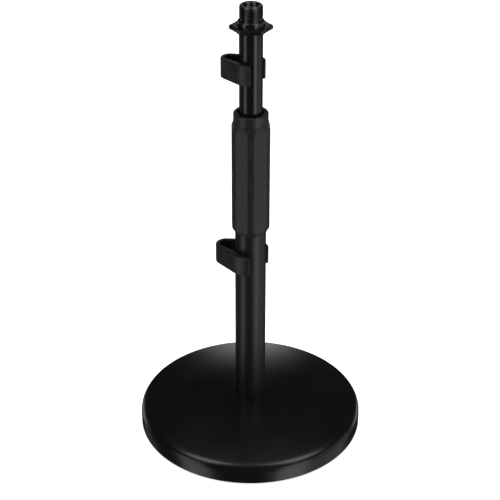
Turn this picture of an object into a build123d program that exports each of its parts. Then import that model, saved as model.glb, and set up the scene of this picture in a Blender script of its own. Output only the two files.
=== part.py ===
from build123d import *
from math import acos, atan2, cos, degrees, hypot, radians, sin, sqrt
import os

# Desktop microphone stand: a domed cast-iron base, a steel lower tube bolted to it, a steel mast that
# slides in the lower tube, a twist clutch that locks the mast, a screw-on thread adapter with a star
# flange, and two cable clips.
# Millimetres. +Z is up, the tubes' common axis is Z, and Z = 0 is the surface the stand rests on.
# +X is to the right and -Y is to the front. Screw threads are drawn as plain cylinders.

# ---------- clearances ----------
static_gap = 0.03      # between pieces that are pressed or screwed together
running_gap = 0.08     # between a shaft and the bore that it turns or slides in
seat_gap = 0.05        # between flat faces of two moving pieces
loose_gap = 0.4        # between pieces that never touch
cut_margin = 1.0       # how far a cutter runs past the face that it opens

# ---------- base ----------
base_diameter = 164.0
base_side_height = 9.8     # where the upright side ends and the edge curve begins
base_edge_radius = 7.0
base_dome_top = 26.2       # height of the dome on the axis
base_foot_bevel = 1.0
casting_wall = 8.5         # iron left above the grooves underneath
rib_width = 6.0            # between the two grooves
rim_width = 11.0           # iron outside the outer groove
boss_radius = 26.0
groove_split = 51.0        # middle radius of the rib between the grooves
pad_thickness = 2.5
pad_proud = 0.8            # how far the rubber stands below the iron
pad_hole_radius = 15.3
pad_edge_margin = 4.8      # iron left outside the pad
pad_side_gap = 0.3
pad_bevel = 0.5

# ---------- joint between the base and the lower tube ----------
socket_depth = 4.2         # tube end below the top of the dome
web_thickness = 9.0        # iron clamped between the tube plug and the washer
bolt_diameter = 10.0
bolt_reach = 22.0          # thread inside the plug
bolt_end_bevel = 1.0
bolt_head_height = 6.4
bolt_head_flats = 17.0
bolt_head_bevel = 0.8
bolt_hole_gap = 0.5
counterbore_radius = 11.5
flat_washer_radius = 10.0
flat_washer_thickness = 2.0
washer_bore_gap = 0.25
washer_bevel = 0.3
spring_washer_radius = 8.2
spring_washer_thickness = 2.5
spring_washer_split = 1.6
spring_washer_turn = 40.0  # degrees from +X to the split
plug_length = 28.0
plug_bevel = 0.8

# ---------- tubes ----------
lower_tube_diameter = 22.0
lower_tube_wall = 1.2
lower_tube_length = 210.0
mast_diameter = 16.0
mast_wall = 1.2
mast_length = 211.7
mast_showing = 58.2        # mast above the clutch nose, as stored

# ---------- guide bush on the mast's lower end ----------
bush_height = 8.0
bush_from_end = 3.0
bush_groove_depth = 0.5
bush_split = 1.5
bush_bevel = 0.4

# ---------- stop ring and foot plug of the mast ----------
stop_ring_radius = 9.2
stop_ring_height = 1.4
stop_ring_above_bush = 2.5
stop_ring_split = 2.0
foot_plug_length = 12.0
foot_plug_flange = 2.0
foot_plug_bevel = 0.8

# ---------- clutch ----------
clutch_skirt_length = 26.0
clutch_flange_height = 2.0
clutch_thread_radius = 10.6
clutch_thread_length = 10.5
clutch_thread_bevel = 0.5
collet_cone_small = 9.1
collet_cone_large = 9.7
collet_cone_height = 3.2
collet_tail_height = 3.7
collet_head_radius = 10.3
collet_head_height = 3.7
collet_head_lift = 0.3         # under the head, above the clutch body
collet_slot = 1.0
collet_slot_count = 6
thrust_washer_thickness = 1.0
sleeve_radius = 12.06
sleeve_bore_gap = 0.15         # round the lower tube
sleeve_mouth_gap = 0.7         # round the mast
sleeve_nose_height = 3.8
sleeve_nose_edge = 1.8
sleeve_mouth_radius = 9.8
sleeve_mouth_depth = 1.2
grip_ridge_radius = 13.9
grip_flat_distance = 13.14
grip_flat_count = 6
grip_flat_turn = 2.0           # degrees from +X to the first flat
grip_top_below_nose = 7.0
grip_length = 83.5
grip_top_bevel = 4.2
grip_bottom_bevel = 4.0
grip_lip_height = 2.4          # rubber folded under the sleeve's end
grip_lip_gap = 0.2             # round the lower tube
grip_top_edge = 0.15           # rubber left at the top of the bevel
grip_bottom_edge = 0.25

# ---------- thread adapter and its stud ----------
stud_thread_diameter = 9.525   # 3/8 in, 16 turns per inch
stud_thread_length = 9.0
stud_plug_length = 20.0
stud_flange_height = 0.8
stud_bevel = 0.8
adapter_thread_diameter = 15.875   # 5/8 in, 27 turns per inch
adapter_thread_length = 9.0
adapter_thread_bevel = 0.9
adapter_relief_height = 1.2
adapter_relief_depth = 0.85
adapter_collar_radius = 9.0
adapter_collar_height = 3.7
adapter_collar_edge = 1.2
adapter_flange_radius = 14.7
adapter_flange_height = 3.0
adapter_flange_scallop = 0.6   # how far each side of the star bows inwards
adapter_flange_points = 6
adapter_tip_round = 0.6
adapter_mouth_radius = 5.4

# ---------- cable clips: one moulded strip each, open from the front to the right ----------
clip_height = 14.0
clip_mouth_from = 268.0        # degrees round the tube, anticlockwise from +X
clip_mouth_to = 368.0
clip_edge_round = 0.5
clip_cutter_reach = 80.0         # from the axis, well past every clip
clip_grip_wall = 2.0
upper_clip_pocket = (-13.8, 6.0)     # centre of the cable pocket's round end
upper_clip_pocket_radius = 3.6
upper_clip_end_wall = 3.0
upper_clip_arm_reach = 4.5           # how far the front arm's outside stands off the mast
upper_clip_above_nose = 23.2
lower_clip_pocket = (-17.3, 6.5)
lower_clip_pocket_radius = 4.2
lower_clip_end_wall = 3.4
lower_clip_arm_reach = 5.8
lower_clip_below_grip = 15.0

# ---------- worked out from the values above ----------
base_radius = base_diameter / 2
lower_tube_radius = lower_tube_diameter / 2
lower_tube_bore = lower_tube_radius - lower_tube_wall
mast_radius = mast_diameter / 2
mast_bore = mast_radius - mast_wall
tube_seat_z = base_dome_top - socket_depth
web_bottom_z = tube_seat_z - web_thickness
lower_tube_top_z = tube_seat_z + lower_tube_length
clutch_thread_z = lower_tube_top_z + clutch_flange_height
clutch_top_z = clutch_thread_z + clutch_thread_length
collet_head_z = clutch_top_z + collet_head_lift
thrust_washer_z = collet_head_z + collet_head_height + seat_gap
sleeve_shoulder_z = thrust_washer_z + thrust_washer_thickness + seat_gap
nose_z = sleeve_shoulder_z + sleeve_nose_height
grip_top_z = nose_z - grip_top_below_nose
grip_bottom_z = grip_top_z - grip_length
mast_top_z = nose_z + mast_showing
mast_bottom_z = mast_top_z - mast_length
bush_z = mast_bottom_z + bush_from_end
stop_ring_z = bush_z + bush_height + stop_ring_above_bush
adapter_z = mast_top_z + stud_flange_height
stud_radius = stud_thread_diameter / 2
adapter_radius = adapter_thread_diameter / 2
adapter_collar_z = adapter_z + adapter_flange_height
adapter_relief_z = adapter_collar_z + adapter_collar_height
adapter_thread_z = adapter_relief_z + adapter_relief_height
adapter_top_z = adapter_thread_z + adapter_thread_length


def turned(points):
    """A solid turned about Z from a closed outline of (radius, height) points."""
    return revolve(make_face(Plane.XZ * Polyline(*points, close=True)), Axis.Z)


def ring(inner, outer, bottom, top, bevel=0.0):
    """A plain ring, with its outer corners bevelled if asked."""
    return turned(
        [
            (inner, bottom),
            (outer - bevel, bottom),
            (outer, bottom + bevel),
            (outer, top - bevel),
            (outer - bevel, top),
            (inner, top),
        ]
        if bevel
        else [(inner, bottom), (outer, bottom), (outer, top), (inner, top)]
    )


def slot(radius, width, bottom, top, angle):
    """A cutter for a straight slot from the axis outwards, at an angle in degrees from +X."""
    box = Pos(radius / 2, 0, (bottom + top) / 2) * Box(radius, width, top - bottom)
    return Rot(0, 0, angle) * box


def polar(radius, angle):
    """The point at a radius and an angle in degrees from +X."""
    return (radius * cos(radians(angle)), radius * sin(radians(angle)))


# ---------- base ----------
def dome_radius():
    """Radius of the dome that runs smoothly into the edge curve and peaks on the axis."""
    edge_centre = base_radius - base_edge_radius
    drop = base_dome_top - base_side_height
    return (edge_centre**2 + drop**2 - base_edge_radius**2) / (2 * (drop - base_edge_radius))


def dome_height(radius):
    """Height of the dome at a radius."""
    sphere = dome_radius()
    return base_dome_top - sphere + sqrt(sphere**2 - radius**2)


def base_skin():
    """The outer solid of the casting: upright side, edge curve and shallow dome."""
    edge_centre = base_radius - base_edge_radius
    centre_z = base_dome_top - dome_radius()
    lean = atan2(edge_centre, base_side_height - centre_z)
    half = (radians(90) - lean) / 2
    meet = (
        edge_centre + base_edge_radius * sin(lean),
        base_side_height + base_edge_radius * cos(lean),
    )
    on_edge = (
        edge_centre + base_edge_radius * cos(half),
        base_side_height + base_edge_radius * sin(half),
    )
    on_dome = (meet[0] / 2, dome_height(meet[0] / 2))
    side = Polyline(
        (0, base_dome_top),
        (0, pad_proud),
        (base_radius - base_foot_bevel, pad_proud),
        (base_radius, pad_proud + base_foot_bevel),
        (base_radius, base_side_height),
    )
    edge = ThreePointArc((base_radius, base_side_height), on_edge, meet)
    dome = ThreePointArc(meet, on_dome, (0, base_dome_top))
    return revolve(make_face(Plane.XZ * (side + edge + dome)), Axis.Z)


def base_plate():
    """The cast-iron base, grooved underneath, with a socket on top for the tube."""
    pad_z = pad_thickness
    outer_groove = (groove_split + rib_width / 2, base_radius - rim_width)
    inner_groove = (boss_radius, groove_split - rib_width / 2)
    body = base_skin()
    body -= ring(pad_hole_radius - pad_side_gap, base_radius - pad_edge_margin, 0, pad_z)
    for inner, outer in (outer_groove, inner_groove):
        body -= ring(inner, outer, pad_z, dome_height(outer) - casting_wall)
    body -= ring(0, counterbore_radius, 0, web_bottom_z)
    body -= ring(0, bolt_diameter / 2 + bolt_hole_gap, 0, base_dome_top)
    body -= ring(0, lower_tube_radius + static_gap, tube_seat_z, base_dome_top + cut_margin)
    return body


def base_pad():
    """The rubber pad let into the underside."""
    outer = base_radius - pad_edge_margin - pad_side_gap
    return ring(pad_hole_radius, outer, 0, pad_thickness - static_gap, pad_bevel)


# ---------- fastening of the lower tube ----------
def flat_washer():
    """Plain washer under the web of the casting."""
    top = web_bottom_z - static_gap
    bore = bolt_diameter / 2 + washer_bore_gap
    return ring(bore, flat_washer_radius, top - flat_washer_thickness, top, washer_bevel)


def spring_washer():
    """Split washer between the plain washer and the bolt head."""
    top = web_bottom_z - flat_washer_thickness - 2 * static_gap
    bottom = top - spring_washer_thickness
    washer = ring(bolt_diameter / 2 + washer_bore_gap, spring_washer_radius, bottom, top)
    reach = spring_washer_radius + cut_margin
    return washer - slot(reach, spring_washer_split, bottom, top, spring_washer_turn)


def base_bolt():
    """Hexagon-head bolt that pulls the tube plug down on the casting."""
    head_top = web_bottom_z - flat_washer_thickness - spring_washer_thickness - 3 * static_gap
    head_bottom = head_top - bolt_head_height
    end = tube_seat_z + bolt_reach
    corner = bolt_head_flats / 2 / cos(radians(30))
    thread = bolt_diameter / 2
    hexagon = extrude(Plane.XY.offset(head_bottom) * RegularPolygon(corner, 6), bolt_head_height)
    head = hexagon & turned(
        [
            (0, head_bottom),
            (bolt_head_flats / 2, head_bottom),
            (corner, head_bottom + bolt_head_bevel),
            (corner, head_top),
            (0, head_top),
        ]
    )
    shank = turned(
        [
            (0, head_bottom + bolt_head_bevel),
            (thread, head_bottom + bolt_head_bevel),
            (thread, end - bolt_end_bevel),
            (thread - bolt_end_bevel, end),
            (0, end),
        ]
    )
    return head + shank


def tube_plug():
    """Threaded steel plug pressed into the lower end of the lower tube."""
    bottom = tube_seat_z + static_gap
    return ring(
        bolt_diameter / 2 + static_gap,
        lower_tube_bore - static_gap,
        bottom,
        tube_seat_z + plug_length,
        plug_bevel,
    )


def lower_tube():
    """Fixed steel tube standing in the base's socket."""
    return ring(lower_tube_bore, lower_tube_radius, tube_seat_z + static_gap, lower_tube_top_z)


# ---------- clutch ----------
def clutch_body():
    """Threaded fitting pressed into the top of the lower tube, with a cone for the collet."""
    bore = mast_radius + loose_gap
    seat_small = collet_cone_small + running_gap
    seat_large = collet_cone_large + running_gap
    cone_z = clutch_thread_z + collet_tail_height
    return turned(
        [
            (bore, lower_tube_top_z - clutch_skirt_length),
            (lower_tube_bore - static_gap, lower_tube_top_z - clutch_skirt_length),
            (lower_tube_bore - static_gap, lower_tube_top_z + static_gap),
            (lower_tube_radius - static_gap, lower_tube_top_z + static_gap),
            (lower_tube_radius - static_gap, clutch_thread_z),
            (clutch_thread_radius, clutch_thread_z),
            (clutch_thread_radius, clutch_top_z - clutch_thread_bevel),
            (clutch_thread_radius - clutch_thread_bevel, clutch_top_z),
            (seat_large, clutch_top_z),
            (seat_large, cone_z + collet_cone_height),
            (seat_small, cone_z),
            (seat_small, clutch_thread_z),
            (bore, clutch_thread_z),
        ]
    )


def collet():
    """Slotted nylon collet that is wedged on to the mast when the sleeve is turned down."""
    bore = mast_radius + running_gap
    tail_z = clutch_thread_z + seat_gap
    cone_z = clutch_thread_z + collet_tail_height + seat_gap
    head_top = collet_head_z + collet_head_height
    body = turned(
        [
            (bore, tail_z),
            (collet_cone_small, tail_z),
            (collet_cone_small, cone_z),
            (collet_cone_large, cone_z + collet_cone_height),
            (collet_cone_large, collet_head_z),
            (collet_head_radius, collet_head_z),
            (collet_head_radius, head_top),
            (bore, head_top),
        ]
    )
    reach = collet_head_radius + cut_margin
    for step in range(collet_slot_count):
        top = head_top if step == 0 else collet_head_z
        body -= slot(reach, collet_slot, tail_z, top, step * 360 / collet_slot_count)
    return body


def thrust_washer():
    """Acetal washer that lets the sleeve turn without turning the collet."""
    top = thrust_washer_z + thrust_washer_thickness
    return ring(mast_radius + loose_gap, collet_head_radius, thrust_washer_z, top)


def clutch_sleeve():
    """Turning sleeve: threaded on the clutch body, with a nose that presses on the collet."""
    bore = lower_tube_radius + sleeve_bore_gap
    thread = clutch_thread_radius + running_gap
    mouth = mast_radius + sleeve_mouth_gap
    outline = Polyline(
        (sleeve_radius, nose_z - sleeve_nose_edge),
        (sleeve_radius, grip_bottom_z + grip_lip_height + seat_gap),
        (bore, grip_bottom_z + grip_lip_height + seat_gap),
        (bore, clutch_thread_z + loose_gap),
        (thread, clutch_thread_z + loose_gap),
        (thread, sleeve_shoulder_z),
        (mouth, sleeve_shoulder_z),
        (mouth, nose_z - sleeve_mouth_depth),
        (sleeve_mouth_radius, nose_z),
        (sleeve_radius - sleeve_nose_edge, nose_z),
    )
    corner = sleeve_nose_edge * (1 - cos(radians(45)))
    edge = ThreePointArc(
        (sleeve_radius - sleeve_nose_edge, nose_z),
        (sleeve_radius - corner, nose_z - corner),
        (sleeve_radius, nose_z - sleeve_nose_edge),
    )
    return revolve(make_face(Plane.XZ * (outline + edge)), Axis.Z)


def grip_cover():
    """Rubber hand grip moulded over the sleeve, with long flats and a lip under the sleeve's end."""
    lip = lower_tube_radius + grip_lip_gap
    inside = sleeve_radius + static_gap
    lip_top = grip_bottom_z + grip_lip_height
    grip = turned(
        [
            (lip, grip_bottom_z),
            (lip + grip_bottom_edge, grip_bottom_z),
            (grip_ridge_radius, grip_bottom_z + grip_bottom_bevel),
            (grip_ridge_radius, grip_top_z - grip_top_bevel),
            (inside + grip_top_edge, grip_top_z),
            (inside, grip_top_z),
            (inside, lip_top),
            (lip, lip_top),
        ]
    )
    block = Box(2 * grip_ridge_radius, 2 * grip_ridge_radius, grip_length)
    cutter = Pos(grip_flat_distance + grip_ridge_radius, 0, grip_bottom_z + grip_length / 2) * block
    for step in range(grip_flat_count):
        grip -= Rot(0, 0, grip_flat_turn + step * 360 / grip_flat_count) * cutter
    return grip


# ---------- mast ----------
def mast_tube():
    """Sliding steel tube, grooved near its lower end for the guide bush and the stop ring."""
    groove = mast_radius - bush_groove_depth
    bush_top = bush_z + bush_height + 2 * seat_gap
    return turned(
        [
            (mast_bore, mast_bottom_z),
            (mast_radius, mast_bottom_z),
            (mast_radius, bush_z),
            (groove, bush_z),
            (groove, bush_top),
            (mast_radius, bush_top),
            (mast_radius, stop_ring_z),
            (groove, stop_ring_z),
            (groove, stop_ring_z + stop_ring_height),
            (mast_radius, stop_ring_z + stop_ring_height),
            (mast_radius, mast_top_z),
            (mast_bore, mast_top_z),
        ]
    )


def guide_bush():
    """Split acetal bush that is sprung into the mast's groove and runs in the lower tube."""
    inner = mast_radius - bush_groove_depth + running_gap
    outer = lower_tube_bore - running_gap
    bottom = bush_z + seat_gap
    top = bottom + bush_height
    bush = ring(inner, outer, bottom, top, bush_bevel)
    return bush - slot(lower_tube_radius, bush_split, bottom, top, 90)


def stop_ring():
    """Spring-steel snap ring that meets the clutch body when the mast is drawn right out."""
    inner = mast_radius - bush_groove_depth + static_gap
    bottom = stop_ring_z + static_gap
    top = stop_ring_z + stop_ring_height - static_gap
    snap = ring(inner, stop_ring_radius, bottom, top)
    return snap - slot(stop_ring_radius + cut_margin, stop_ring_split, bottom, top, 270)


def mast_foot_plug():
    """Nylon plug pressed into the mast's lower end, with a flange that lands on the tube plug."""
    plug = mast_bore - static_gap
    seat = mast_bottom_z - static_gap
    top = mast_bottom_z + foot_plug_length
    return turned(
        [
            (0, seat - foot_plug_flange),
            (mast_radius - foot_plug_bevel, seat - foot_plug_flange),
            (mast_radius - static_gap, seat - foot_plug_flange + foot_plug_bevel),
            (mast_radius - static_gap, seat),
            (plug, seat),
            (plug, top - foot_plug_bevel),
            (plug - foot_plug_bevel, top),
            (0, top),
        ]
    )


def top_stud():
    """Steel plug pressed into the mast's top, with a 3/8 in stud."""
    flange = mast_radius - static_gap
    plug = mast_bore - static_gap
    top = adapter_z + stud_thread_length
    return turned(
        [
            (0, mast_top_z - stud_plug_length),
            (plug - stud_bevel, mast_top_z - stud_plug_length),
            (plug, mast_top_z - stud_plug_length + stud_bevel),
            (plug, mast_top_z + static_gap),
            (flange, mast_top_z + static_gap),
            (flange, adapter_z),
            (stud_radius, adapter_z),
            (stud_radius, top - stud_bevel),
            (stud_radius - stud_bevel, top),
            (0, top),
        ]
    )


# ---------- thread adapter ----------
def star_flange():
    """Six-pointed finger flange: a hexagon whose sides bow inwards."""
    points = [
        polar(adapter_flange_radius, step * 360 / adapter_flange_points)
        for step in range(adapter_flange_points + 1)
    ]
    turn = 360 / adapter_flange_points
    middle = adapter_flange_radius * cos(radians(turn / 2)) - adapter_flange_scallop
    sides = [
        ThreePointArc(points[step], polar(middle, (step + 0.5) * turn), points[step + 1])
        for step in range(adapter_flange_points)
    ]
    plan = make_face(Curve() + sides)
    star = extrude(Plane.XY.offset(adapter_z + seat_gap) * plan, adapter_flange_height - seat_gap)
    tips = star.edges().filter_by(Axis.Z)
    return fillet(tips, adapter_tip_round)


def thread_adapter():
    """Screw-on adapter: 5/8 in thread outside, 3/8 in thread inside, rounded collar and star flange."""
    bore = stud_radius + seat_gap
    relief = adapter_radius - adapter_relief_depth
    top = adapter_top_z
    corner = adapter_collar_edge * (1 - cos(radians(45)))
    outline = Polyline(
        (adapter_collar_radius - adapter_collar_edge, adapter_relief_z),
        (relief, adapter_relief_z),
        (relief, adapter_thread_z),
        (adapter_radius, adapter_thread_z),
        (adapter_radius, top - adapter_thread_bevel),
        (adapter_radius - adapter_thread_bevel, top),
        (adapter_mouth_radius, top),
        (bore, top - (adapter_mouth_radius - bore)),
        (bore, adapter_z + seat_gap),
        (adapter_collar_radius, adapter_z + seat_gap),
        (adapter_collar_radius, adapter_relief_z - adapter_collar_edge),
    )
    edge = ThreePointArc(
        (adapter_collar_radius, adapter_relief_z - adapter_collar_edge),
        (adapter_collar_radius - corner, adapter_relief_z - corner),
        (adapter_collar_radius - adapter_collar_edge, adapter_relief_z),
    )
    barrel = revolve(make_face(Plane.XZ * (outline + edge)), Axis.Z)
    star = star_flange() - ring(0, bore, adapter_z, adapter_relief_z)
    return barrel + star


# ---------- cable clips ----------
def belt(centre, radius, hub_radius):
    """The area inside a belt round a circle at a centre and a circle on the axis."""
    distance = hypot(*centre)
    towards = degrees(atan2(centre[1], centre[0]))
    swing = degrees(acos((hub_radius - radius) / distance))
    corners = []
    for side in (swing, -swing):
        normal = polar(1, towards + side)
        on_hub = (hub_radius * normal[0], hub_radius * normal[1])
        on_end = (centre[0] + radius * normal[0], centre[1] + radius * normal[1])
        corners += [on_hub, on_end] if side > 0 else [on_end, on_hub]
    sheet = make_face(Polyline(*corners, close=True))
    return sheet + Circle(hub_radius) + Pos(*centre) * Circle(radius)


def sector(start, end, reach):
    """The area between two directions, in degrees round from +X."""
    steps = 4
    corners = [polar(reach, start + (end - start) * step / steps) for step in range(steps + 1)]
    return make_face(Polyline((0, 0), *corners, close=True))


def cable_clip(tube_radius, pocket, pocket_radius, end_wall, arm_reach, bottom):
    """A strip clip, whose hook lies on the tube's back and right. Its front arm leaves the cable pocket,
    bears on the tube at the front left, and runs straight on to a free tip."""
    bore = tube_radius + running_gap
    towards = degrees(atan2(pocket[1], pocket[0]))
    reach = clip_cutter_reach
    bearing = towards + degrees(acos((bore - pocket_radius) / hypot(*pocket)))
    front = sector(towards, clip_mouth_from, reach)
    mouth = sector(clip_mouth_from, clip_mouth_to, reach)
    hook = belt(pocket, pocket_radius + end_wall, bore + clip_grip_wall) - front - mouth
    arm = belt(pocket, pocket_radius + end_wall, tube_radius + arm_reach) & front
    inside_arm = Rot(0, 0, bearing) * Pos(bore - reach / 2, 0) * Rectangle(reach, reach)
    behind_tip = inside_arm & sector(bearing, clip_mouth_from, reach)
    plan = hook + arm - belt(pocket, pocket_radius, bore) - behind_tip
    strip = extrude(Plane.XY.offset(bottom) * plan, clip_height)
    flat_ends = strip.faces().filter_by(Axis.Z)
    return fillet(flat_ends.edges(), clip_edge_round)


def upper_clip():
    """Cable clip on the mast."""
    return cable_clip(
        mast_radius,
        upper_clip_pocket,
        upper_clip_pocket_radius,
        upper_clip_end_wall,
        upper_clip_arm_reach,
        nose_z + upper_clip_above_nose,
    )


def lower_clip():
    """Cable clip on the lower tube."""
    return cable_clip(
        lower_tube_radius,
        lower_clip_pocket,
        lower_clip_pocket_radius,
        lower_clip_end_wall,
        lower_clip_arm_reach,
        grip_bottom_z - lower_clip_below_grip - clip_height,
    )


pieces = [
    base_plate,
    base_pad,
    flat_washer,
    spring_washer,
    base_bolt,
    tube_plug,
    lower_tube,
    clutch_body,
    collet,
    thrust_washer,
    clutch_sleeve,
    grip_cover,
    guide_bush,
    stop_ring,
    mast_foot_plug,
    mast_tube,
    top_stud,
    thread_adapter,
    upper_clip,
    lower_clip,
]

os.makedirs("parts", exist_ok=True)
for piece in pieces:
    export_step(piece(), f"parts/{piece.__name__}.step")
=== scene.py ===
import math

import bpy
import numpy as np
from mathutils import Matrix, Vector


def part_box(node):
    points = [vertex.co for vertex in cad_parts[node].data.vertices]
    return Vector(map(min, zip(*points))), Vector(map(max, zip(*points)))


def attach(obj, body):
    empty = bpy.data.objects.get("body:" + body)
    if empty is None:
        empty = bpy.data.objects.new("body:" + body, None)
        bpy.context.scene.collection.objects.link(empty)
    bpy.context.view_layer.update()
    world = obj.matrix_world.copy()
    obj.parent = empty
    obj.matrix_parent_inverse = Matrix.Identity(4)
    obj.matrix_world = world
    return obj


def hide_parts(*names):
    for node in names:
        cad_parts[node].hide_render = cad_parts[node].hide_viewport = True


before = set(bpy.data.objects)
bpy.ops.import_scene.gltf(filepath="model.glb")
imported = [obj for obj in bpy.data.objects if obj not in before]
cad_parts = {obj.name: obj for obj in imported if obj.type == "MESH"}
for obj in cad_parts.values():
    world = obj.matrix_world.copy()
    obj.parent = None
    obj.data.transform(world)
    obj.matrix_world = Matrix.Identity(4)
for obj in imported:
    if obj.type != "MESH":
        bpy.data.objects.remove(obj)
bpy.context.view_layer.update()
mm = 0.001
scene = bpy.context.scene

# ---------------------------------------------------------------------------
# Camera: a long lens in front of the stand, looking 30 degrees down, and far
# enough back to take in the whole stand.
# ---------------------------------------------------------------------------
lens_mm = 103.5
camera_place = (-0.0004, -0.8856, 0.6555)
camera_pitch = math.radians(90 - 29.915)
camera_roll = math.radians(0.12)

lens = bpy.data.cameras.new("camera")
lens.lens = lens_mm
lens.sensor_width = 36.0
lens.clip_start = 0.05
lens.clip_end = 60.0
camera = bpy.data.objects.new("camera", lens)
scene.collection.objects.link(camera)
turn = Matrix.Rotation(camera_pitch, 4, "X") @ Matrix.Rotation(camera_roll, 4, "Z")
camera.matrix_world = Matrix.Translation(camera_place) @ turn
scene.camera = camera
scene.view_settings.view_transform = "Standard"


# ---------------------------------------------------------------------------
# Studio: a matt white table top and plain soft light. The table is evenly lit
# from above, and the softboxes stand all round, so that they show as streaks in
# the enamel.
# ---------------------------------------------------------------------------
def linear(hex_colour):
    """An sRGB hex colour as linear red, green, blue and alpha."""
    srgb = np.array([int(hex_colour[start : start + 2], 16) for start in (1, 3, 5)]) / 255
    light = np.where(srgb <= 0.04045, srgb / 12.92, ((srgb + 0.055) / 1.055) ** 2.4)
    return (*light.tolist(), 1.0)


def add(tree, kind, sockets=None, **settings):
    """Adds a node. sockets gives each input a value, or another node's output to be linked to."""
    node = tree.nodes.new(kind)
    for key, value in settings.items():
        setattr(node, key, value)
    for key, value in (sockets or {}).items():
        if isinstance(value, bpy.types.NodeSocket):
            tree.links.new(value, node.inputs[key])
        else:
            node.inputs[key].default_value = value
    return node


table_size = 30.0
table_white = "#F2F2F2"
table_glow = 0.80
table_roughness = 0.9
top_light_height = 1.9
top_light_back = 0.1
top_light_size = 2.2
top_light_watts = 17.0

table_mesh = bpy.data.meshes.new("table_top")
half = table_size / 2
table_mesh.from_pydata(
    [(-half, -half, 0), (half, -half, 0), (half, half, 0), (-half, half, 0)], [], [(0, 1, 2, 3)]
)
table = bpy.data.objects.new("table_top", table_mesh)
scene.collection.objects.link(table)
table.visible_glossy = False
table_paint = bpy.data.materials.new("matt_white_laminate")
table_paint.use_nodes = True
laminate = table_paint.node_tree.nodes["Principled BSDF"]
laminate.inputs["Base Color"].default_value = linear(table_white)
laminate.inputs["Roughness"].default_value = table_roughness
laminate.inputs["Emission Color"].default_value = (1, 1, 1, 1)
laminate.inputs["Emission Strength"].default_value = table_glow
table_mesh.materials.append(table_paint)

top_lamp = bpy.data.lights.new("overhead_softbox", "AREA")
top_lamp.shape = "DISK"
top_lamp.size = top_light_size
top_lamp.energy = top_light_watts
top_light = bpy.data.objects.new("overhead_softbox", top_lamp)
top_light.location = (0, top_light_back, top_light_height)
top_light.visible_glossy = False
scene.collection.objects.link(top_light)

# Softboxes: direction round from the front (right is plus), height above the horizon,
# half width, half height, softness of the sides, softness of the top and bottom (all
# in degrees), and brightness.
softboxes = [
    (-58, -22, 9, 34, 9, 9, 1.3),
    (44, -22, 9, 34, 9, 9, 1.9),
    (86, -22, 18, 34, 14, 9, 0.5),
    (180, 6, 2, 1, 6, 17, 1.7),
    (-62, 56, 9, 12, 9, 12, 3.2),
    (64, 56, 10, 12, 9, 12, 3.4),
    (0, 88, 24, 20, 20, 18, 0.35),
    (-130, -20, 8, 30, 12, 9, 0.12),
    (132, -10, 7, 6, 8, 4, 1.4),
    (-134, -10, 7, 6, 8, 4, 1.4),
]
room_light = 0.025

world = bpy.data.worlds.new("studio")
scene.world = world
world.use_nodes = True
sky = world.node_tree
sky.nodes.clear()
way = add(sky, "ShaderNodeTexCoord").outputs["Generated"]
glow = 0.0
for around, above, half_wide, half_high, soft_wide, soft_high, bright in softboxes:
    a, e = math.radians(around), math.radians(above)
    towards = (math.sin(a) * math.cos(e), -math.cos(a) * math.cos(e), math.sin(e))
    right = (math.cos(a), math.sin(a), 0)
    up = (-math.sin(a) * math.sin(e), math.cos(a) * math.sin(e), math.cos(e))
    ahead = add(sky, "ShaderNodeVectorMath", {0: way, 1: towards}, operation="DOT_PRODUCT")
    ahead = ahead.outputs["Value"]
    panel = add(sky, "ShaderNodeMath", {0: ahead, 1: 0.0}, operation="GREATER_THAN").outputs[0]
    for axis, reach, edge in ((right, half_wide, soft_wide), (up, half_high, soft_high)):
        aside = add(sky, "ShaderNodeVectorMath", {0: way, 1: axis}, operation="DOT_PRODUCT")
        sockets = {0: aside.outputs["Value"], 1: ahead}
        angle = add(sky, "ShaderNodeMath", sockets, operation="ARCTAN2").outputs[0]
        away = add(sky, "ShaderNodeMath", {0: angle}, operation="ABSOLUTE").outputs[0]
        gate = add(
            sky,
            "ShaderNodeMapRange",
            {
                "Value": away,
                "From Min": math.radians(reach),
                "From Max": math.radians(reach + edge),
                "To Min": 1.0,
                "To Max": 0.0,
            },
            interpolation_type="SMOOTHSTEP",
        ).outputs[0]
        panel = add(sky, "ShaderNodeMath", {0: panel, 1: gate}, operation="MULTIPLY").outputs[0]
    panel = add(sky, "ShaderNodeMath", {0: panel, 1: bright}, operation="MULTIPLY").outputs[0]
    glow = add(sky, "ShaderNodeMath", {0: glow, 1: panel}, operation="MAXIMUM").outputs[0]
glow = add(sky, "ShaderNodeMath", {0: glow, 1: room_light}, operation="ADD").outputs[0]
lit = add(sky, "ShaderNodeBackground", {"Strength": glow}).outputs[0]
plain = add(sky, "ShaderNodeBackground", {"Strength": 1.0}).outputs[0]
seen = add(sky, "ShaderNodeLightPath").outputs["Is Camera Ray"]
both = add(sky, "ShaderNodeMixShader", {0: seen, 1: lit, 2: plain}).outputs[0]
add(sky, "ShaderNodeOutputWorld", {"Surface": both})

# ---------------------------------------------------------------------------
# Base: one iron casting with an upright side, a rounded edge and a shallow dome,
# grooved underneath, shot-blasted and powder coated satin black.
# ---------------------------------------------------------------------------
base_dome_top = 26.2
base_side_height = 9.8
base_edge_radius = 7.0
base_foot_bevel = 1.0
base_foot_height = 0.8
pad_recess_top = 2.5
pad_recess_radius = 77.2
grooves = ((26.0, 48.0), (54.0, 71.0))
groove_tops = (13.4, 9.9)
counterbore = (11.5, 13.0)
bolt_hole_radius = 5.5
socket = (11.03, 22.0)
socket_edge = 0.35
machined_break = 0.3
socket_corner = 0.2
counterbore_corner = 0.4
counterbore_mouth = 0.5
cast_round = 0.6
groove_round = 1.5
foot_round = 0.5


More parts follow.
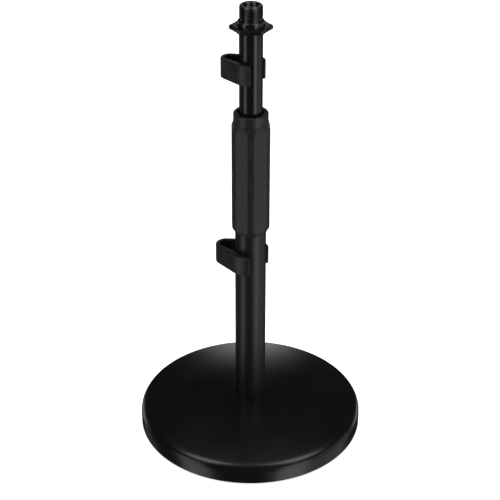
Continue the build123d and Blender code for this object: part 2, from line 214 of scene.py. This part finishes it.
def rounded(corners, steps=8, support=0.12):
    """A closed outline through (x, y, rounding) corners: each corner becomes an arc tangent to its two
    sides, with one more point just before and after it, which keeps the straight sides flat."""
    nearly_straight, side_share, support_share = math.radians(89.5), 0.45, 0.04
    corners = np.asarray(corners, float)
    outline = []
    for before, here, after in zip(np.roll(corners, 1, 0), corners, np.roll(corners, -1, 0)):
        back, on = before[:2] - here[:2], after[:2] - here[:2]
        back_length, on_length = np.hypot(*back), np.hypot(*on)
        back, on = back / back_length, on / on_length
        opening = math.acos(float(np.clip(back @ on, -1, 1))) / 2
        if here[2] == 0 or opening > nearly_straight:
            outline.append(here[:2])
            continue
        reach = min(here[2] / math.tan(opening), side_share * back_length, side_share * on_length)
        radius = reach * math.tan(opening)
        centre = here[:2] + (back + on) / np.hypot(*(back + on)) * radius / math.sin(opening)
        start, end = here[:2] + back * reach - centre, here[:2] + on * reach - centre
        sweep = math.pi - 2 * opening
        t = np.linspace(0, 1, steps + 1)[:, None]
        arc = centre + (start * np.sin((1 - t) * sweep) + end * np.sin(t * sweep)) / math.sin(sweep)
        near = min(support, support_share * min(back_length, on_length))
        outline += [arc[0] + back * near, *arc, arc[-1] + on * near]
    return np.array(outline)


def skin(name, grid, closed_rows=True, capped=False):
    """A mesh over a grid of points (rows, columns, xyz): columns always close on themselves, rows close
    too or are capped with a flat face at each end. The sign of its volume, the sum over its corners of
    (a x b) . c, tells which way the faces point, and they are turned to point outwards."""
    rows, columns = grid.shape[:2]
    index = np.arange(rows * columns).reshape(rows, columns)
    low = index if closed_rows else index[:-1]
    high = np.roll(index, -1, 0) if closed_rows else index[1:]
    quads = np.stack([low, np.roll(low, -1, 1), np.roll(high, -1, 1), high], -1).reshape(-1, 4)
    faces = quads.tolist()
    if capped:
        faces += [index[0, ::-1].tolist(), index[-1].tolist()]
    points = grid.reshape(-1, 3) * mm
    a, b, c, d = (points[quads[:, corner]] - points.mean(0) for corner in range(4))
    volume = np.sum(np.cross(a, b) * c) + np.sum(np.cross(a, c) * d)
    mesh = bpy.data.meshes.new(name)
    mesh.from_pydata(points.tolist(), [], faces)
    mesh.shade_smooth()
    mesh.validate()
    if volume < 0:
        mesh.flip_normals()
    piece = bpy.data.objects.new(name, mesh)
    scene.collection.objects.link(piece)
    return piece


def turned(name, outline, steps=192):
    """A closed outline of (radius, height) points carried round Z."""
    angle = np.linspace(0, 2 * np.pi, steps, endpoint=False)
    radius, height = outline[:, :1], outline[:, 1:]
    grid = np.stack([radius * np.cos(angle), radius * np.sin(angle), height + 0 * angle], -1)
    return skin(name, grid)


def base_outline():
    """The casting's section: the socket, the bolt hole, the underside out to the foot, then up the side
    and back over the dome, whose arc peaks on the axis and meets the edge arc smoothly."""
    dome_points, edge_points = 26, 14
    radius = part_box("base_plate")[1].x / mm
    edge_centre = radius - base_edge_radius
    drop = base_dome_top - base_side_height
    sphere = (edge_centre**2 + drop**2 - base_edge_radius**2) / (2 * (drop - base_edge_radius))
    lean = math.atan2(edge_centre, base_side_height - base_dome_top + sphere)
    out = np.linspace(socket[0] + socket_edge, sphere * math.sin(lean), dome_points)[:, None]
    dome = np.hstack([out, base_dome_top - sphere + np.sqrt(sphere**2 - out**2), 0 * out])
    turn = np.linspace(math.pi / 2 - lean, 0, edge_points)[1:, None]
    edge = np.hstack(
        [
            edge_centre + base_edge_radius * np.cos(turn),
            base_side_height + base_edge_radius * np.sin(turn),
            0 * turn,
        ]
    )
    dome_and_edge = np.vstack([dome, edge])[::-1]
    inner, outer = grooves
    under = [
        (socket[0], dome[0, 1], machined_break),
        (socket[0], socket[1], socket_corner),
        (bolt_hole_radius, socket[1], machined_break),
        (bolt_hole_radius, counterbore[1], machined_break),
        (counterbore[0], counterbore[1], counterbore_corner),
        (counterbore[0], pad_recess_top, counterbore_mouth),
        (inner[0], pad_recess_top, cast_round),
        (inner[0], groove_tops[0], groove_round),
        (inner[1], groove_tops[0], groove_round),
        (inner[1], pad_recess_top, cast_round),
        (outer[0], pad_recess_top, cast_round),
        (outer[0], groove_tops[1], groove_round),
        (outer[1], groove_tops[1], groove_round),
        (outer[1], pad_recess_top, cast_round),
        (pad_recess_radius, pad_recess_top, machined_break),
        (pad_recess_radius, base_foot_height, machined_break),
        (radius - base_foot_bevel, base_foot_height, machined_break),
        (radius, base_foot_height + base_foot_bevel, foot_round),
    ]
    return rounded(np.vstack([under, dome_and_edge]))


def finish(name, dark, light, roughness, patch_mm, grain_mm, depth_mm, metallic=0.0, stretch=(1, 1, 1)):
    """A material whose colour and roughness drift in soft patches between two values, with a fine grain
    that stands up by a given depth. stretch draws the pattern out along an axis."""
    noise_low, noise_high = 0.2, 0.8
    material = bpy.data.materials.new(name)
    material.use_nodes = True
    tree = material.node_tree
    shader = tree.nodes["Principled BSDF"]
    place = add(tree, "ShaderNodeTexCoord").outputs["Object"]
    drawn = add(tree, "ShaderNodeMapping", {"Vector": place, "Scale": stretch}).outputs[0]
    patch = add(tree, "ShaderNodeTexNoise", {"Vector": drawn, "Scale": 1 / (patch_mm * mm), "Detail": 1.0})
    spread = add(
        tree,
        "ShaderNodeMapRange",
        {"Value": patch.outputs[0], "From Min": noise_low, "From Max": noise_high},
        interpolation_type="SMOOTHSTEP",
    )
    tone = add(
        tree,
        "ShaderNodeMix",
        {"Factor": spread.outputs[0], 6: linear(dark), 7: linear(light)},
        data_type="RGBA",
    )
    polish = add(
        tree,
        "ShaderNodeMapRange",
        {"Value": spread.outputs[0], "To Min": roughness[0], "To Max": roughness[1]},
    )
    grain = add(tree, "ShaderNodeTexNoise", {"Vector": drawn, "Scale": 1 / (grain_mm * mm), "Detail": 2.0})
    bump = add(tree, "ShaderNodeBump", {"Height": grain.outputs[0], "Distance": depth_mm * mm})
    tree.links.new(tone.outputs[2], shader.inputs["Base Color"])
    tree.links.new(polish.outputs[0], shader.inputs["Roughness"])
    tree.links.new(bump.outputs[0], shader.inputs["Normal"])
    shader.inputs["Metallic"].default_value = metallic
    return material


def dress(piece, material):
    """Gives a piece, or a carried-over CAD node, its one material."""
    piece.data.materials.clear()
    piece.data.materials.append(material)
    return piece


# Polyester powder coat over cast iron: satin, with a faint orange peel. The real peel
# is about 1 mm across.
powder_coat = finish("powder_coat_satin_black", "#0B0B0B", "#101010", (0.22, 0.27), 30, 1.1, 0.003)
powder_coat.node_tree.nodes["Principled BSDF"].inputs["IOR"].default_value = 1.5

casting = dress(turned("base_casting", base_outline(), 256), powder_coat)
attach(casting, "base")
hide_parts("base_plate")

# ---------------------------------------------------------------------------
# Base pad: a disc of black rubber sheet, punched and pressed into the recess
# under the casting, with a fine moulded grain.
# ---------------------------------------------------------------------------
pad_rubber = finish("rubber_sheet_black", "#1B1B1B", "#262626", (0.75, 0.9), 9, 0.6, 0.03)
dress(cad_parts["base_pad"], pad_rubber)

# ---------------------------------------------------------------------------
# Base fixings: a bolt, a split washer and a plain washer pull the tube's plug
# down on the casting. All are turned or stamped steel, bright zinc plated, and so
# is the stud in the mast's top.
# ---------------------------------------------------------------------------
zinc_plate = finish("zinc_plated_steel", "#A9ACAE", "#C3C6C8", (0.28, 0.42), 4, 0.35, 0.004, 1.0)
for node in ("base_bolt", "spring_washer", "flat_washer", "tube_plug", "top_stud"):
    dress(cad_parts[node], zinc_plate)

# ---------------------------------------------------------------------------
# Lower tube: 22 mm welded steel tube, enamelled satin black, with its cut ends
# deburred.
# ---------------------------------------------------------------------------
tube_wall = 1.2
tube_deburr = 0.35


def tube_outline(node, wall, deburr):
    """A tube's section, from its node's own box, with both ends deburred."""
    low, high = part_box(node)
    radius, bottom, top = high.x / mm, low.z / mm, high.z / mm
    return rounded(
        [
            (radius, bottom, deburr),
            (radius, top, deburr),
            (radius - wall, top, deburr),
            (radius - wall, bottom, deburr),
        ]
    )


# Sprayed enamel over drawn tube: the die leaves faint lines along it, which are about
# 0.1 mm wide, and drawn 0.5 mm wide so that they show.
satin_enamel = finish(
    "enamel_satin_black", "#101010", "#181818", (0.34, 0.42), 12, 0.5, 0.0015, stretch=(1, 1, 0.06)
)
lower_tube = turned("lower_tube_enamelled", tube_outline("lower_tube", tube_wall, tube_deburr))
dress(lower_tube, satin_enamel)
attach(lower_tube, "base")
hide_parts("lower_tube")

# ---------------------------------------------------------------------------
# Inside the clutch: a die-cast zinc body with a thread and a cone, a slotted
# nylon collet that the cone closes on the mast, and an acetal thrust washer. The
# guide bush on the mast's foot is the same acetal.
# ---------------------------------------------------------------------------
cast_zinc = finish("zinc_die_casting", "#8E9092", "#A3A5A7", (0.42, 0.55), 6, 0.8, 0.02, 1.0)
collet_nylon = finish("nylon_natural", "#D8D2BE", "#E4DFCD", (0.45, 0.55), 5, 0.5, 0.006)
acetal = finish("acetal_white", "#E9E8E2", "#F3F2EE", (0.3, 0.4), 5, 0.5, 0.003)
dress(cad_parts["clutch_body"], cast_zinc)
dress(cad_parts["collet"], collet_nylon)
dress(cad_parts["thrust_washer"], acetal)
dress(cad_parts["guide_bush"], acetal)

# ---------------------------------------------------------------------------
# Clutch sleeve: turns on the clutch body's thread. Moulded in glass-filled nylon,
# with a smooth round nose above the grip and a countersunk mouth round the mast.
# The plug in the mast's foot is the same nylon.
# ---------------------------------------------------------------------------
sleeve_low, sleeve_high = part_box("clutch_sleeve")
nose_z = sleeve_high.z / mm
sleeve_radius = sleeve_high.x / mm
sleeve_bore = 11.15
sleeve_thread_bore = 10.68
sleeve_thread_from = 234.4
sleeve_shoulder_z = nose_z - 3.8
nose_round = 1.8
mouth_wide, mouth_narrow, mouth_depth = 9.8, 8.7, 1.2
sleeve_foot_break, mouth_break, inside_break = 0.2, 0.25, 0.1
sleeve_outline = rounded(
    [
        (sleeve_bore, sleeve_low.z / mm, sleeve_foot_break),
        (sleeve_radius, sleeve_low.z / mm, sleeve_foot_break),
        (sleeve_radius, nose_z, nose_round),
        (mouth_wide, nose_z, mouth_break),
        (mouth_narrow, nose_z - mouth_depth, mouth_break),
        (mouth_narrow, sleeve_shoulder_z, inside_break),
        (sleeve_thread_bore, sleeve_shoulder_z, inside_break),
        (sleeve_thread_bore, sleeve_thread_from, inside_break),
        (sleeve_bore, sleeve_thread_from, inside_break),
    ]
)
# Moulded nylon off a finely sparked tool: satin, with the glass fibre as a faint mottle.
moulded_nylon = finish("nylon_moulded_black", "#131313", "#1B1B1B", (0.36, 0.46), 3, 0.3, 0.004)
sleeve = dress(turned("clutch_sleeve_moulding", sleeve_outline), moulded_nylon)
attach(sleeve, "clutch")
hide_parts("clutch_sleeve")
dress(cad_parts["mast_foot_plug"], moulded_nylon)

# ---------------------------------------------------------------------------
# Hand grip: thermoplastic rubber moulded over the sleeve. Six long flats are let
# into the round, and run out in arches in the bevels at both ends.
# ---------------------------------------------------------------------------
grip_low, grip_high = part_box("grip_cover")
grip_bottom, grip_top = grip_low.z / mm, grip_high.z / mm
grip_ridge = 13.9
grip_flat = 13.14
grip_flat_first = math.radians(2)
grip_flat_count = 6
grip_crease = 0.05
grip_bore = sleeve_radius + 0.03
grip_lip = 11.2
grip_lip_width, grip_lip_height, grip_lip_round = 0.45, 2.4, 0.3
grip_bevel_low, grip_bevel_high, grip_bevel_round = 4.0, 4.2, 1.6
grip_top_wall, grip_top_round = 0.2, 0.15
grip_inside_break, grip_top_break = 0.1, 0.05


def grip_grid(columns=360):
    """The grip's section carried round Z. Outside the bore its radius is the smaller, softly blended, of
    the round section and the distance to the nearest flat along the same direction."""
    bore_margin, side_rows = 0.01, 26
    section = rounded(
        [
            (grip_lip, grip_bottom, grip_inside_break),
            (grip_lip + grip_lip_width, grip_bottom, grip_lip_round),
            (grip_ridge, grip_bottom + grip_bevel_low, grip_bevel_round),
            (grip_ridge, grip_top - grip_bevel_high, grip_bevel_round),
            (grip_bore + grip_top_wall, grip_top, grip_top_round),
            (grip_bore, grip_top, grip_top_break),
            (grip_bore, grip_bottom + grip_lip_height, grip_inside_break),
            (grip_lip, grip_bottom + grip_lip_height, grip_inside_break),
        ],
        steps=10,
    )
    # The long outer side gets rows of its own, which its flats need.
    lengths = np.hypot(*(np.roll(section, -1, 0) - section).T)
    outside = section[:, 0] > grip_bore + bore_margin
    longest = int(np.argmax(np.where(outside, lengths, 0)))
    fill = np.linspace(section[longest], section[longest + 1], side_rows)[1:-1]
    section = np.vstack([section[: longest + 1], fill, section[longest + 1 :]])
    angle = np.linspace(0, 2 * np.pi, columns, endpoint=False)
    step = 2 * np.pi / grip_flat_count
    off_flat = np.mod(angle - grip_flat_first + step / 2, step) - step / 2
    flat = grip_flat / np.cos(off_flat)
    radius, height = section[:, :1], section[:, 1:]
    pressed = -grip_crease * np.logaddexp(-radius / grip_crease, -flat / grip_crease)
    radius = np.where(radius > grip_bore + bore_margin, pressed, radius)
    return np.stack([radius * np.cos(angle), radius * np.sin(angle), height + 0 * radius], -1)


# Thermoplastic rubber, moulded in a blasted tool: matt, charcoal where the light rakes it.
grip_rubber = finish("rubber_moulded_charcoal", "#121212", "#1A1A1A", (0.42, 0.5), 5, 0.45, 0.008)
grip = dress(skin("hand_grip", grip_grid()), grip_rubber)
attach(grip, "clutch")
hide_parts("grip_cover")

# ---------------------------------------------------------------------------
# Mast: 16 mm drawn steel tube, enamelled gloss black, grooved at its foot for the
# bush and for the snap ring of blackened spring steel.
# ---------------------------------------------------------------------------
mast_low, mast_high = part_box("mast_tube")
mast_radius = mast_high.x / mm
mast_bottom, mast_top = mast_low.z / mm, mast_high.z / mm
mast_bore = mast_radius - 1.2
groove_radius = mast_radius - 0.5
bush_groove = (mast_bottom + 3.0, mast_bottom + 11.1)
ring_groove = (mast_bottom + 13.5, mast_bottom + 14.9)
mast_outline = rounded(
    [
        (mast_radius, mast_bottom, 0.2),
        (mast_radius, bush_groove[0], 0.1),
        (groove_radius, bush_groove[0], 0.1),
        (groove_radius, bush_groove[1], 0.1),
        (mast_radius, bush_groove[1], 0.1),
        (mast_radius, ring_groove[0], 0.1),
        (groove_radius, ring_groove[0], 0.1),
        (groove_radius, ring_groove[1], 0.1),
        (mast_radius, ring_groove[1], 0.1),
        (mast_radius, mast_top, 0.3),
        (mast_bore, mast_top, 0.2),
        (mast_bore, mast_bottom, 0.2),
    ]
)
# Stoved gloss enamel over drawn tube: a near mirror, with the tube's faint lines under it.
gloss_enamel = finish(
    "enamel_gloss_black", "#101010", "#171717", (0.13, 0.2), 14, 0.5, 0.0008, stretch=(1, 1, 0.05)
)
spring_steel = finish("spring_steel_blackened", "#2E2F33", "#3D3E42", (0.35, 0.5), 3, 0.3, 0.004, 1.0)
mast = dress(turned("mast_enamelled", mast_outline), gloss_enamel)
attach(mast, "mast")
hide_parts("mast_tube")
dress(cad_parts["stop_ring"], spring_steel)

# ---------------------------------------------------------------------------
# Thread adapter: turned and milled steel, blackened and lacquered. It has a
# six-pointed finger flange, a rounded collar, a 5/8 in thread outside and a
# 3/8 in thread inside.
# ---------------------------------------------------------------------------
adapter_low, adapter_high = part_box("thread_adapter")
adapter_bottom, adapter_top = adapter_low.z / mm, adapter_high.z / mm
inch = 25.4
# The thread has 27 turns to the inch. It is drawn with 17, so that its turns show.
outer_radius, outer_pitch, outer_depth = 15.875 / 2, inch / 17, 0.75
inner_radius, inner_pitch, inner_depth = 9.525 / 2 + 0.05, inch / 16, 0.5
collar_radius = 9.0
relief_radius = outer_radius - 0.85
flange_tip = 14.7
flange_scallop = 0.6
flange_top = adapter_bottom + 2.95
collar_top = flange_top + 3.7
thread_from = collar_top + 1.2
mouth_radius = 5.4


def star_reach(angle):
    """The flange's edge along a direction: six arcs that bow inwards between the tips, with each tip
    rounded by a soft minimum with a circle just inside it."""
    step = np.pi / 3
    off_middle = np.abs(np.mod(angle, step) - step / 2)
    middle = flange_tip * math.cos(step / 2) - flange_scallop
    half_side = flange_tip * math.sin(step / 2)
    bow = (half_side**2 + flange_scallop**2) / (2 * flange_scallop)
    centre = middle + bow
    reach = centre * np.cos(off_middle) - np.sqrt(np.maximum(bow**2 - (centre * np.sin(off_middle)) ** 2, 0))
    blunt, tip_inset = 0.16, 0.12
    return -blunt * np.logaddexp(-reach / blunt, -(flange_tip - tip_inset) / blunt)


def thread_depth(angle, height, pitch):
    """How far a 60 degree thread is cut, from 0 at its crest to 1 at its root: a triangle wave of the
    height less the helix's climb, with its crest and root flattened."""
    crest_flat, slope = 0.12, 0.72
    turn = np.mod(height / pitch - angle / (2 * np.pi), 1)
    wave = 2 * np.abs(turn - 0.5)
    return np.clip((wave - crest_flat) / slope, 0, 1)


def adapter_grid(columns=180):
    """The adapter's closed section carried round Z: out under the star flange, round its edge and back to
    the collar, up over the collar and the neck, up the outer thread, over the rim and down the bore."""
    angle = np.linspace(0, 2 * np.pi, columns, endpoint=False)[None, :]
    edge, fillet, soft, foot = 0.55, 0.25, 1.3, 0.7
    under_bevel, run_in_length, thread_bevel, sharp = 0.5, 0.5, 0.95, 0.05
    rim = adapter_top - 0.02
    quarter = np.linspace(0, np.pi / 2, 7)[:, None]
    star = star_reach(angle)
    share = np.linspace(0, 1, 8)[:, None]
    shoulder = collar_radius + fillet
    rows = []

    def row(radius, height):
        rows.append(np.stack([radius + 0 * angle, height + 0 * radius + 0 * angle], -1))

    row(inner_radius + under_bevel + 0 * share[:1], adapter_bottom + 0 * share[:1])
    row(shoulder + (star - edge - shoulder) * share, adapter_bottom + 0 * share)
    row(star - edge + edge * np.sin(quarter[1:]), adapter_bottom + edge * (1 - np.cos(quarter[1:])))
    row(star - edge + edge * np.cos(quarter), flange_top - edge + edge * np.sin(quarter))
    row(shoulder + (star - edge - shoulder) * share[::-1][1:], flange_top + 0 * share[1:])
    row(
        collar_radius + fillet - fillet * np.sin(quarter[1:]),
        flange_top + fillet - fillet * np.cos(quarter[1:]),
    )
    row(
        collar_radius - soft + soft * np.cos(quarter),
        collar_top - soft + soft * np.sin(quarter),
    )
    row(
        relief_radius + foot - foot * np.sin(quarter),
        collar_top + foot - foot * np.cos(quarter),
    )
    climb = np.arange(thread_from, rim, outer_pitch / 12)[:, None]
    run_in = np.clip((climb - thread_from) / run_in_length, 0, 1)
    bevel = outer_radius + sharp - np.clip(climb - (adapter_top - thread_bevel), 0, 2)
    cut = outer_radius - outer_depth * thread_depth(angle, climb, outer_pitch)
    row(np.minimum(relief_radius + (cut - relief_radius) * run_in, bevel), climb)
    # Five rings across the flat top, then two down into the bore's mouth.
    across = outer_radius - np.array([[0.93], [0.98], [1.1], [1.6], [2.3]])
    row(across, adapter_top + 0 * across)
    row(np.array([[mouth_radius + 0.1], [mouth_radius]]), np.array([[adapter_top], [rim - 0.08]]))
    sink = np.arange(rim - 0.2, adapter_bottom + 0.4, -inner_pitch / 16)[:, None]
    cone = mouth_radius - (rim - 0.1 - sink)
    bore = inner_radius + inner_depth * (1 - thread_depth(angle, sink, inner_pitch))
    row(np.maximum(bore, cone), sink)
    section = np.concatenate(rows, 0)
    radius, height = section[..., 0], section[..., 1]
    return np.stack([radius * np.cos(angle), radius * np.sin(angle), height], -1)


# Blackened steel under clear lacquer: deep black, with bright lines along each crest.
black_lacquer = finish("steel_black_lacquered", "#0C0C0D", "#131314", (0.12, 0.18), 3, 0.3, 0.001)
black_lacquer.node_tree.nodes["Principled BSDF"].inputs["IOR"].default_value = 1.65
adapter = dress(skin("thread_adapter_turned", adapter_grid()), black_lacquer)
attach(adapter, "adapter")
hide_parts("thread_adapter")

# ---------------------------------------------------------------------------
# Cable clips: each is one strip of moulded nylon. Its hook hugs the tube's back and
# right, it swells into a cable pocket at the left, and its front arm bears on the
# tube at the front left and runs straight on to a free tip.
# ---------------------------------------------------------------------------
clip_gap = 0.08
clip_hook_wall = 2.0
clip_hook_end = math.radians(8)
clip_tip_end = math.radians(268)
clip_round = 0.6


def belt_line(hub, end, arm, pocket, straight_tip):
    """A line along a clip, seen from above: round the axis at the hub's radius, straight to a circle
    round the pocket's centre, round that, and straight to the arm's radius, which it then follows, or
    leaves on the same straight line, whose radius grows as 1 / cos of the angle from where it touches."""
    hook_points, bend_points, tip_points, run_points = 30, 34, 16, 12
    away = math.hypot(*pocket)
    towards = math.atan2(pocket[1], pocket[0])
    leave = towards - math.acos((hub - end) / away)
    bear = towards + math.acos((arm - end) / away)
    hook = np.linspace(clip_hook_end + clip_round / hub, leave, hook_points)
    bend = np.linspace(leave, bear, bend_points)
    tip = np.linspace(bear, clip_tip_end - clip_round / arm, tip_points)
    tip_radius = arm / np.cos(tip - bear) if straight_tip else arm + 0 * tip
    hook = hub * np.stack([np.cos(hook), np.sin(hook)], -1)
    bend = pocket + end * np.stack([np.cos(bend), np.sin(bend)], -1)
    tip = tip_radius[:, None] * np.stack([np.cos(tip), np.sin(tip)], -1)
    share = np.linspace(0, 1, run_points)[1:-1, None]
    first_run = hook[-1] + (bend[0] - hook[-1]) * share
    second_run = bend[-1] + (tip[0] - bend[-1]) * share
    return np.vstack([hook, first_run, bend, second_run, tip])


def strip_grid(outside, inside, bottom, top):
    """A rounded rectangle carried along a strip between its outside and inside lines, and drawn in at
    both ends by a quarter round, so that the free ends are soft."""
    across = outside - inside
    thickness = np.hypot(*across.T)[:, None]
    normals = across / thickness
    tangent = np.stack([-normals[:, 1], normals[:, 0]], -1)
    corner_steps = 8
    turn = np.linspace(np.pi / 2, 0, 6)[1:-1]
    extra, count = len(turn), len(outside)
    order = np.concatenate([np.zeros(extra, int), np.arange(count), np.full(extra, count - 1)])
    rounding = np.concatenate([turn, np.zeros(count), turn[::-1]])[:, None]
    way = np.repeat([-1, 0, 1], [extra, count, extra])[:, None]
    inset = clip_round * (1 - np.cos(rounding))
    middle = ((outside + inside) / 2)[order] + tangent[order] * way * clip_round * np.sin(rounding)
    half_thick = thickness[order] / 2 - inset
    half_high = (top - bottom) / 2 - inset
    quarters = np.array([0, 90, 180, 270])
    corner = np.radians(quarters[:, None] + np.linspace(0, 90, corner_steps)).reshape(1, -1)
    side = np.repeat([1, -1, -1, 1], corner_steps)[None, :]
    end = np.repeat([1, 1, -1, -1], corner_steps)[None, :]
    out = side * (half_thick - clip_round) + clip_round * np.cos(corner)
    rise = end * (half_high - clip_round) + clip_round * np.sin(corner)
    plan = middle[:, None, :] + normals[order][:, None, :] * out[..., None]
    return np.concatenate([plan, (rise + (top + bottom) / 2)[..., None]], -1)


# Moulded nylon: satin black, a little greyer than the enamel, with faint flow marks.
clip_nylon = finish("nylon_clip_satin", "#131313", "#1B1B1B", (0.38, 0.48), 7, 0.35, 0.005)
# Each clip: its tube's radius, its pocket's centre and radius, the wall round the pocket's
# end, and how far the front arm's outside stands off the tube.
for node, tube_radius, pocket, pocket_radius, end_wall, arm_reach in (
    ("upper_clip", 8.0, (-13.8, 6.0), 3.6, 3.0, 4.5),
    ("lower_clip", 11.0, (-17.3, 6.5), 4.2, 3.4, 5.8),
):
    bore = tube_radius + clip_gap
    inside = belt_line(bore, pocket_radius, bore, pocket, True)
    outside = belt_line(
        bore + clip_hook_wall, pocket_radius + end_wall, tube_radius + arm_reach, pocket, False
    )
    low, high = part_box(node)
    strip = strip_grid(outside, inside, low.z / mm, high.z / mm)
    clip = dress(skin(f"{node}_strip", strip, closed_rows=False, capped=True), clip_nylon)
    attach(clip, node)
    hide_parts(node)
